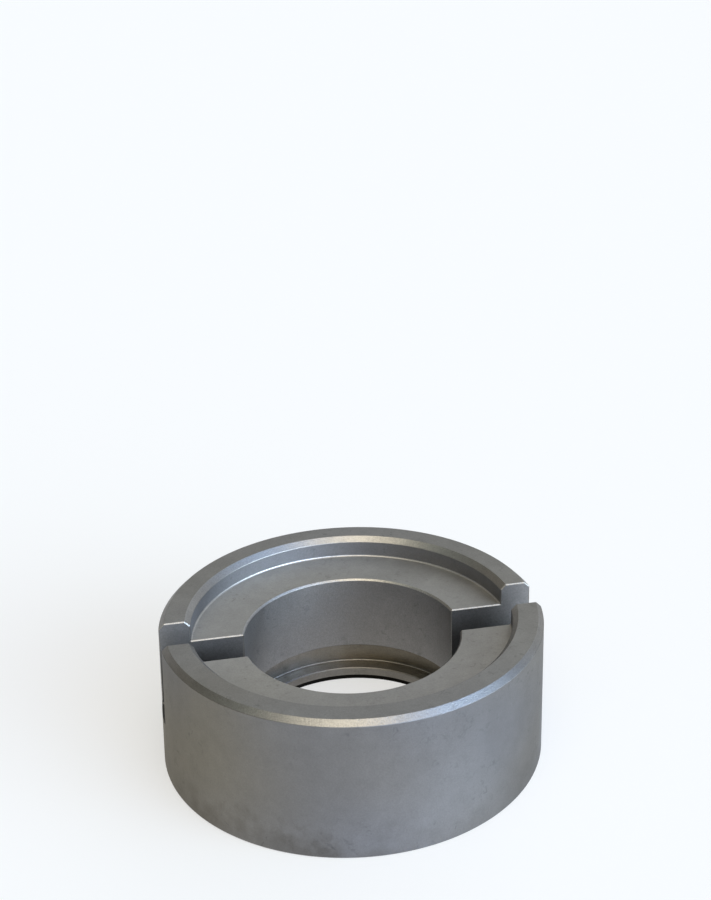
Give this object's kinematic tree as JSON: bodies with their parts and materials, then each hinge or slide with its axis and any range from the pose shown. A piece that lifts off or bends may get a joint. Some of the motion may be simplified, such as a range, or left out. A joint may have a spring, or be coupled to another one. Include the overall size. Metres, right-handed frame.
{
  "type": "bearing seal",
  "caption": "Rotating seal ring for a shaft bearing: a turned stainless ring with a recessed face, chamfered rim, grooved shaft bore and a drive slot across its end.",
  "frame": {"origin": "centre of the plain end face, on the ring's axis", "axes": "+Z along the ring's axis, towards the slotted end; X along the drive slot"},
  "size_m": [0.0572, 0.0572, 0.0214],
  "materials": {
    "steel": "satin, bead blasted"
  },
  "bodies": {
    "root": {"seal_ring": "steel"}
  },
  "joints": []
}
